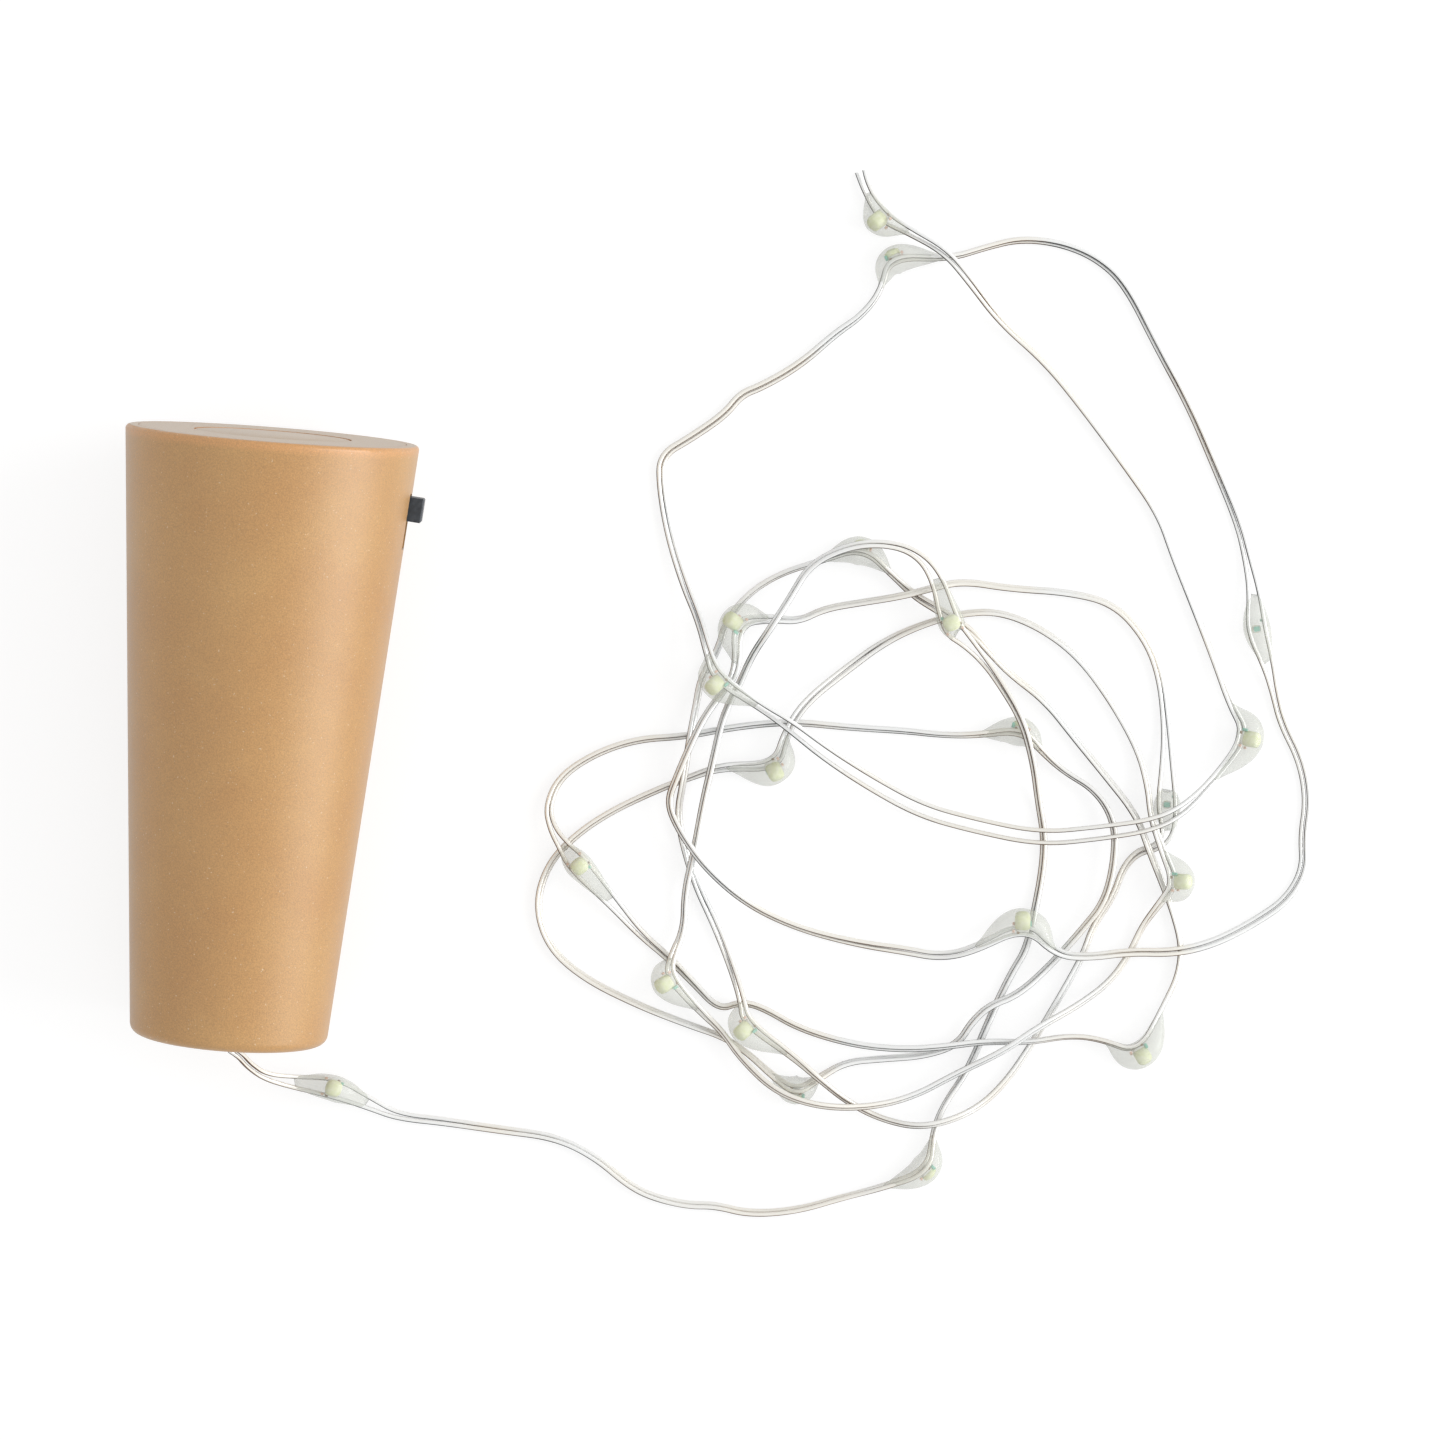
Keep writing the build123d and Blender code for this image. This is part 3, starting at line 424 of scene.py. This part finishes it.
def resin_ring(bm, number, light, share):
    """One ring of a bead's skin, at a share of the way from its light to the next or last point."""
    low = light_turns[number] > low_turn
    height = low_bead_height if low else bead_height
    bulge = -low_bead_bulge if low else bead_bulge
    before, after = resin_reach_shares.get(number + 1, (1.0, 1.0))
    middle, aside, up, heading, half = pair_frame(light + share)
    nearness = 1 - abs(share) / (after if share > 0 else before)
    growth = max(math.sin(math.pi / 2 * nearness), 0) ** bead_rounding
    wide = half + wire_diameter / 2 + bead_side_cover * growth - bead_end_inset * (1 - growth)
    high = (bead_end_height + (height - bead_end_height) * growth) / 2
    centre = middle + up * bulge * growth
    hollow = -math.copysign(end_hollow * (1 - nearness) ** end_hollow_sharpness, share)
    ring = []
    for side in range(bead_sides):
        angle = 2 * math.pi * side / bead_sides
        across, rise = math.cos(angle), math.sin(angle)
        across = math.copysign(abs(across) ** bead_squareness, across)
        rise = math.copysign(abs(rise) ** bead_squareness, rise)
        seed = Vector((number * wobble_step, share * wobble_pace, angle))
        wobble = 1 + wobble_share * growth * noise.noise(seed)
        place = centre + (aside * wide * across + up * high * rise) * wobble
        place += heading * hollow * (1 - across * across)
        place.z = max(place.z, resin_above_floor)
        ring.append(bm.verts.new(place))
    return ring


def resin_bead(number, light):
    """A drop of resin round the wires and the light, drawn out to a thin web with hollow ends."""
    before, after = resin_reach_shares.get(number + 1, (1.0, 1.0))
    bm = bmesh.new()
    rings = []
    for step in range(bead_rings):
        share = -before + (before + after) * step / (bead_rings - 1)
        rings.append(resin_ring(bm, number, light, share))
    for first, last in zip(rings, rings[1:]):
        for side in range(bead_sides):
            beside = (side + 1) % bead_sides
            bm.faces.new((first[side], first[beside], last[beside], last[side]))
    bm.faces.new(rings[0][::-1])
    bm.faces.new(rings[-1])
    return mesh_piece(f"resin_bead_{number + 1:02d}", bm)


def add_block(bm, foot, axes, size, crown=0.0, look=0, corner_share=chip_corner_share):
    """Adds a small block with rounded corners and a crowned top, of one of the piece's materials."""
    aside, heading, up = axes
    width, length, height = size
    corner = min(width, length) * corner_share
    outline = []
    for sx, sy in ((1, 1), (-1, 1), (-1, -1), (1, -1)):
        start = math.atan2(sy, sx) - math.pi / 4
        for step in range(corner_steps + 1):
            angle = start + step * math.pi / 2 / corner_steps
            x = sx * (width / 2 - corner) + corner * math.cos(angle)
            y = sy * (length / 2 - corner) + corner * math.sin(angle)
            outline.append(aside * x + heading * y)
    levels = [(scale, height * share) for scale, share in block_level_shares]
    levels.append((block_top_share, height + crown))
    rows = []
    for scale, rise in levels:
        rows.append([bm.verts.new(foot + place * scale + up * rise) for place in outline])
    faces = [bm.faces.new(rows[0][::-1]), bm.faces.new(rows[-1])]
    for low, high in zip(rows, rows[1:]):
        for index in range(len(outline)):
            beside = (index + 1) % len(outline)
            faces.append(bm.faces.new((low[index], low[beside], high[beside], high[index])))
    for face in faces:
        face.material_index = look


def battery_lid():
    """The lid of the battery tube, whose edge is a faint line in the wide end."""
    profile = [
        (0, lid_sink),
        (lid_radius - lid_edge_round * 2, lid_sink),
        (lid_radius - lid_edge_round, lid_sink * 2),
        (lid_radius, lid_sink + lid_edge_round),
        (lid_radius, lid_thickness),
        (0, lid_thickness),
    ]
    bm = bmesh.new()
    spine = [bm.verts.new((radius, 0, -depth)) for radius, depth in profile]
    edges = [bm.edges.new(pair) for pair in zip(spine, spine[1:])]
    axis, middle = (0, 0, 1), (0, 0, 0)
    bmesh.ops.spin(bm, geom=spine + edges, axis=axis, cent=middle, angle=math.tau, steps=lid_steps)
    bmesh.ops.remove_doubles(bm, verts=bm.verts, dist=lid_sink / 10)
    turn = along.to_track_quat("Z", "Y").to_matrix().to_4x4()
    place = Matrix.Translation(narrow_centre + along * body_length) @ turn
    bmesh.ops.transform(bm, matrix=place, verts=bm.verts)
    return mesh_piece("lid_of_battery", bm)


lid_piece = battery_lid()
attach(lid_piece, "battery_cover")
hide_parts("battery_lid")

# Looks of a chip: white, with a blue-grey back, a green mark at one corner, two copper pads, and
# solder on the wires
chip_looks = ["chip_white", "chip_back", "polarity_mark", "copper_pad", "solder"]


def add_light(number, light):
    """Adds one chip with its marks and solder, and its phosphor. A hidden light is drawn small."""
    low = light_turns[number] > low_turn
    hidden = light_turns[number] > hidden_turn
    middle, aside, up, heading, half = pair_frame(light)
    if low:
        aside, up = -aside, -up
    axes = (aside, heading, up)
    foot = middle + up * (wire_diameter / 2 + chip_gap)
    size = hidden_size_share if hidden else 1
    add_block(chips, foot, axes, (chip_across * size, chip_along * size, chip_thickness))
    back_foot = foot - up * chip_gap * 2
    back_look = chip_looks.index("polarity_mark" if hidden else "chip_back")
    add_block(chips, back_foot, axes, (back_mark_across, back_mark_along, chip_gap), look=back_look)
    corner = aside * (chip_across - mark_size) / 2 + heading * (chip_along / 2 + mark_overhang)
    mark = (mark_size, mark_size, chip_thickness * 2)
    add_block(chips, foot + corner, axes, mark, look=chip_looks.index("polarity_mark"))
    for end in (-1, 1):
        pad = -aside * end * chip_across / 2 - heading * (chip_along / 2 + pad_overhang)
        pad_block = (pad_size, pad_size, chip_thickness)
        add_block(chips, foot + pad, axes, pad_block, look=chip_looks.index("copper_pad"))
        joint = middle + aside * end * half + heading * end * solder_offset
        solder = (solder_size, solder_size, solder_height)
        add_block(chips, joint, axes, solder, solder_crown, chip_looks.index("solder"))
    thickness = low_phosphor_thickness if low else phosphor_thickness
    phosphor = (phosphor_across * size, phosphor_along * size, thickness)
    top = foot + up * chip_thickness
    add_block(phosphors, top, axes, phosphor, phosphor_crown, corner_share=phosphor_corner_share)


# Beads and the lights inside them
bead_pieces = []
chips, phosphors = bmesh.new(), bmesh.new()
for number, light in enumerate(lights):
    bead = resin_bead(number, light)
    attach(bead, "root")
    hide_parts(f"led_bead_{number + 1:02d}")
    bead_pieces.append(bead)
    add_light(number, light)
chip_piece = mesh_piece("light_chips", chips, smooth=False)
phosphor_piece = mesh_piece("light_phosphors", phosphors)
for piece, node, slot in (
    (chip_piece, "led_chips", "chip_white"),
    (phosphor_piece, "led_phosphors", "phosphor_yellow"),
):
    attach(piece, "root")
    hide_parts(node)


def material(name):
    """An empty node material, its node tree and its shader."""
    made = bpy.data.materials.new(name)
    made.use_nodes = True
    return made, made.node_tree, made.node_tree.nodes["Principled BSDF"]


def node_of(tree, kind, **values):
    """A node with some of its properties set."""
    made = tree.nodes.new(kind)
    for key, value in values.items():
        setattr(made, key, value)
    return made


def noise_of(tree, scale, detail, roughness):
    """Noise in the piece's own coordinates."""
    place = tree.nodes.new("ShaderNodeTexCoord")
    made = tree.nodes.new("ShaderNodeTexNoise")
    made.inputs["Scale"].default_value = scale
    made.inputs["Detail"].default_value = detail
    made.inputs["Roughness"].default_value = roughness
    tree.links.new(place.outputs["Object"], made.inputs["Vector"])
    return made.outputs["Fac"]


def ramp_of(tree, factor, stops):
    """A colour ramp driven by a factor. Each stop is a position, and a colour or a grey level."""
    made = tree.nodes.new("ShaderNodeValToRGB")
    ramp = made.color_ramp
    while len(ramp.elements) < len(stops):
        ramp.elements.new(0.5)
    for element, (position, look) in zip(ramp.elements, stops):
        element.position = position
        element.color = look if isinstance(look, tuple) else (look, look, look, 1)
    tree.links.new(factor, made.inputs["Fac"])
    return made.outputs["Color"]


def mixed(tree, first, second, factor, blend="MIX"):
    """The first colour with the second one over it. An input is a value or another node's output."""
    mix = node_of(tree, "ShaderNodeMix", data_type="RGBA", blend_type=blend)
    for socket, value in ((mix_factor, factor), (mix_first, first), (mix_second, second)):
        if isinstance(value, bpy.types.NodeSocket):
            tree.links.new(value, mix.inputs[socket])
        else:
            mix.inputs[socket].default_value = value
    return mix.outputs[mix_result]


def towards(tree, direction):
    """How far the surface faces a direction, times the direction's length."""
    geometry = tree.nodes.new("ShaderNodeNewGeometry")
    made = node_of(tree, "ShaderNodeVectorMath", operation="DOT_PRODUCT")
    made.inputs[1].default_value = direction
    tree.links.new(geometry.outputs["Normal"], made.inputs[0])
    return made.outputs["Value"]


def bump_of(tree, shader, height, strength, distance):
    """Fine relief from a height."""
    made = tree.nodes.new("ShaderNodeBump")
    made.inputs["Strength"].default_value = strength
    made.inputs["Distance"].default_value = distance
    tree.links.new(height, made.inputs["Height"])
    tree.links.new(made.outputs["Normal"], shader.inputs["Normal"])


def linear(code):
    """Linear colour, with full alpha, from a six-digit screen colour."""
    parts = [int(code[i : i + 2], 16) / 255 for i in (0, 2, 4)]
    levels = [p / 12.92 if p <= 0.04045 else ((p + 0.055) / 1.055) ** 2.4 for p in parts]
    return (*levels, 1)


def cork_plastic():
    """Satin tan plastic with a fine sparkling grain, with a painted glow of light along the wide end's
    rim and a painted grazing reflection that makes the end face greyer and duller.
    """
    made, tree, shader = material("cork_plastic")
    cloud = noise_of(tree, scale=140, detail=3, roughness=0.55)
    sides = ramp_of(tree, cloud, [(0.3, linear("BC8B50")), (0.7, linear("C4965A"))])
    place = tree.nodes.new("ShaderNodeTexCoord")
    height = node_of(tree, "ShaderNodeVectorMath", operation="DOT_PRODUCT")
    height.inputs[1].default_value = along / rim_glow_band
    tree.links.new(place.outputs["Object"], height.inputs[0])
    nearness = node_of(tree, "ShaderNodeMath", operation="SUBTRACT")
    nearness.inputs[1].default_value = (narrow_centre.dot(along) + body_length) / rim_glow_band - 1
    tree.links.new(height.outputs["Value"], nearness.inputs[0])
    # Painted glow of light: the plastic is painted a brighter orange along the wide end's rim, where the
    # rounded edge catches light
    edge = ramp_of(tree, nearness.outputs["Value"], [(0.0, 0.0), (0.5, 0.8), (1.0, 0.9)])
    # Painted grazing reflection: the end face, which faces along the stopper, is painted a greyer,
    # duller tan
    face = ramp_of(tree, towards(tree, along), [(0.9, 0.0), (0.98, 1.0)])
    grain = noise_of(tree, scale=8500, detail=3, roughness=0.7)
    speckle = ramp_of(tree, grain, [(0.34, 0.81), (0.5, 0.97), (0.66, 1.12)])
    spark = noise_of(tree, scale=6500, detail=0, roughness=0.5)
    sparkle = ramp_of(tree, spark, [(0.79, 0.0), (0.84, 0.45)])
    colour = mixed(tree, sides, linear("D39A5E"), edge)
    colour = mixed(tree, colour, linear("B79870"), face)
    colour = mixed(tree, colour, speckle, 1.0, "MULTIPLY")
    colour = mixed(tree, colour, linear("EADBBE"), sparkle)
    tree.links.new(colour, shader.inputs["Base Color"])
    rough = ramp_of(tree, grain, [(0.3, 0.36), (0.7, 0.48)])
    tree.links.new(rough, shader.inputs["Roughness"])
    shader.inputs["Specular IOR Level"].default_value = 1.0
    shader.inputs["Sheen Weight"].default_value = 0.24
    shader.inputs["Sheen Roughness"].default_value = 0.4
    bump_of(tree, shader, grain, strength=0.35, distance=0.00004)
    return made


def grained(name, low, high, scale, roughness, metallic=0.0, relief=0.1):
    """A plain surface whose shade and relief vary with a fine grain."""
    made, tree, shader = material(name)
    grain = noise_of(tree, scale, detail=3, roughness=0.5)
    colour = ramp_of(tree, grain, [(0.35, linear(low)), (0.65, linear(high))])
    tree.links.new(colour, shader.inputs["Base Color"])
    shader.inputs["Roughness"].default_value = roughness
    shader.inputs["Metallic"].default_value = metallic
    bump_of(tree, shader, grain, relief, distance=0.00005)
    return made


def wire_metal():
    """Bright drawn wire, with a painted white highlight along its top and one flank and a painted grey
    or brown line of shade down the other.
    """
    made, tree, shader = material("wire_metal")
    geometry = tree.nodes.new("ShaderNodeNewGeometry")
    split = tree.nodes.new("ShaderNodeSeparateXYZ")
    tree.links.new(geometry.outputs["Normal"], split.inputs["Vector"])
    upward = node_of(tree, "ShaderNodeMath", operation="ABSOLUTE")
    tree.links.new(split.outputs["Z"], upward.inputs[0])
    sided = node_of(tree, "ShaderNodeMath", operation="ADD")
    tree.links.new(upward.outputs["Value"], sided.inputs[0])
    # Painted light and shade: the flank facing away from this direction is painted darker and the other
    # lighter, as if lit from one side
    tree.links.new(towards(tree, (0.24, 0.36, 0)), sided.inputs[1])
    streak = noise_of(tree, scale=150, detail=3, roughness=0.6)
    shift = node_of(tree, "ShaderNodeMath", operation="MULTIPLY_ADD")
    tree.links.new(streak, shift.inputs[0])
    shift.inputs[1].default_value = 0.5
    tree.links.new(sided.outputs["Value"], shift.inputs[2])
    painted_highlight_and_shade = shift.outputs["Value"]
    tint = noise_of(tree, scale=60, detail=2, roughness=0.5)
    brown_share = ramp_of(tree, tint, [(0.45, 0.0), (0.55, 1.0)])
    # Painted highlight and shade: white where the wire faces up, a dark grey or brown line of shade on
    # the darker flank
    brown = ramp_of(tree, painted_highlight_and_shade, [
        (0.65, linear("4A2E18")), (0.73, linear("B28A60")), (0.8, linear("FBF8F0")),
    ])
    grey = ramp_of(tree, painted_highlight_and_shade, [
        (0.65, linear("07090B")), (0.73, linear("777C7D")), (0.8, linear("FBFCFB")),
    ])
    tree.links.new(mixed(tree, grey, brown, brown_share), shader.inputs["Base Color"])
    shader.inputs["Metallic"].default_value = 0.4
    shader.inputs["Roughness"].default_value = 0.3
    bump_of(tree, shader, streak, strength=0.1, distance=0.00003)
    return made


def clear_resin():
    """Clear resin with a faint green-grey cast, more solid at its rims."""
    made, tree, shader = material("clear_resin")
    cloud = noise_of(tree, scale=700, detail=3, roughness=0.5)
    colour = ramp_of(tree, cloud, [(0.3, linear("D2D5CA")), (0.7, linear("E2E5DA"))])
    tree.links.new(colour, shader.inputs["Base Color"])
    rim = tree.nodes.new("ShaderNodeLayerWeight")
    rim.inputs["Blend"].default_value = 0.3
    body = ramp_of(tree, rim.outputs["Facing"], [(0.0, 0.3), (0.6, 0.36), (0.95, 0.52)])
    tree.links.new(body, shader.inputs["Alpha"])
    shader.inputs["Roughness"].default_value = 0.08
    bump_of(tree, shader, cloud, strength=0.15, distance=0.00008)
    return made


# Materials of the pieces and of the model's own nodes
by_slot = {
    "cork_plastic": cork_plastic(),
    "black_plastic": grained("black_plastic", "2B3036", "3A4047", 3000, 0.45, relief=0.2),
    "cell_steel": grained("cell_steel", "C6C6C1", "CFCFCA", 1500, 0.3, metallic=1.0, relief=0.02),
    "spring_metal": grained("spring_metal", "BDBAB0", "D9D6CC", 2500, 0.3, metallic=1.0),
    "board_green": grained("board_green", "124A2C", "1E6B40", 1200, 0.35),
    "resistor_black": grained("resistor_black", "101010", "232323", 2500, 0.4),
    "lead_red": grained("lead_red", "8E1512", "B01F1A", 1500, 0.35),
    "lead_black": grained("lead_black", "121212", "262626", 1500, 0.4),
    "seal_glue": grained("seal_glue", "CFCBBE", "E2DFD5", 900, 0.35),
    "wire_silver": wire_metal(),
    "resin_clear": clear_resin(),
    "chip_white": grained("chip_white", "DADAD4", "F0F0EC", 2500, 0.3),
    "phosphor_yellow": grained("phosphor_yellow", "EEF4C4", "F8FBDE", 2500, 0.6),
}
by_look = {
    "chip_white": by_slot["chip_white"],
    "chip_back": grained("chip_back", "8495AC", "9FADC0", 2500, 0.4),
    "polarity_mark": grained("polarity_mark", "7CC9B4", "98D6C4", 2500, 0.4),
    "copper_pad": grained("copper_pad", "E4B8A6", "F0CCBC", 2500, 0.4),
    "solder": grained("solder", "7A5F49", "A08A72", 2500, 0.35, metallic=0.4),
}
for row in frame["record"]["subparts"]:
    node = nodes[row["node"]]
    node.data.materials.clear()
    node.data.materials.append(by_slot[row["material_slot"]])
lid_piece.data.materials.append(by_slot["cork_plastic"])
for wire in wires:
    wire.data.materials.append(by_slot["wire_silver"])
for bead in bead_pieces:
    bead.data.materials.append(by_slot["resin_clear"])
for look in chip_looks:
    chip_piece.data.materials.append(by_look[look])
phosphor_piece.data.materials.append(by_slot["phosphor_yellow"])

# Floor, which shows white to the camera and in reflections, and keeps a faint shadow
floor_reach = 3.0
floor_colour = (0.30, 0.30, 0.30, 1)
floor_glow = 0.76
floor_corners = [(x * floor_reach, y * floor_reach, 0) for x, y in ((-1, -1), (1, -1), (1, 1), (-1, 1))]
floor_mesh = bpy.data.meshes.new("floor")
floor_mesh.from_pydata(floor_corners, [], [(0, 1, 2, 3)])
floor = link(bpy.data.objects.new("floor", floor_mesh))
paper, paper_tree, paper_shader = material("paper")
paper_shader.inputs["Base Color"].default_value = floor_colour
paper_shader.inputs["Roughness"].default_value = 0.9
paper_shader.inputs["Emission Color"].default_value = (1, 1, 1, 1)
rays = paper_tree.nodes.new("ShaderNodeLightPath")
seen = rays.outputs["Is Camera Ray"]
for kind in ("Is Glossy Ray", "Is Transmission Ray"):
    either = node_of(paper_tree, "ShaderNodeMath", operation="MAXIMUM")
    paper_tree.links.new(seen, either.inputs[0])
    paper_tree.links.new(rays.outputs[kind], either.inputs[1])
    seen = either.outputs["Value"]
glow = node_of(paper_tree, "ShaderNodeMath", operation="MULTIPLY")
glow.inputs[1].default_value = floor_glow
paper_tree.links.new(seen, glow.inputs[0])
paper_tree.links.new(glow.outputs["Value"], paper_shader.inputs["Emission Strength"])
floor.data.materials.append(paper)

# World light
world_level = 0.76
world = bpy.data.worlds.new("studio")
scene.world = world
world.use_nodes = True
background = world.node_tree.nodes["Background"]
background.inputs["Color"].default_value = (1, 1, 1, 1)
background.inputs["Strength"].default_value = world_level


def lamp(name, place, size, power):
    """A soft square lamp that faces the middle of the frame."""
    light = bpy.data.lights.new(name, "AREA")
    light.shape = "SQUARE"
    light.size = size
    light.energy = power
    made = link(bpy.data.objects.new(name, light))
    made.location = place
    made.rotation_euler = (-Vector(place)).to_track_quat("-Z", "Y").to_euler()


lamp("key", place=(0.83, 0.12, 0.38), size=0.7, power=4.95)
lamp("side", place=(0.9, 0.05, 0.08), size=0.5, power=1.8)

# Camera, nearly straight above and turned a little about its own view
camera_turn = math.radians(4.7)
camera_place = Vector((0.035525, 0.01241, 0.440))
camera_aim = Vector((0.0362, 0.00404, 0))
back = (camera_place - camera_aim).normalized()
level_right = Vector((math.cos(camera_turn), math.sin(camera_turn), 0))
right = (level_right - back * level_right.dot(back)).normalized()
camera_up = back.cross(right)
camera = link(bpy.data.objects.new("camera", bpy.data.cameras.new("camera")))
camera.data.lens = 137.5
camera.data.sensor_width = 36
camera.data.clip_start = 0.01
camera.matrix_world = Matrix((
    (right.x, camera_up.x, back.x, camera_place.x),
    (right.y, camera_up.y, back.y, camera_place.y),
    (right.z, camera_up.z, back.z, camera_place.z),
    (0, 0, 0, 1),
))
scene.camera = camera
scene.view_settings.view_transform = "Standard"

bpy.context.view_layer.update()
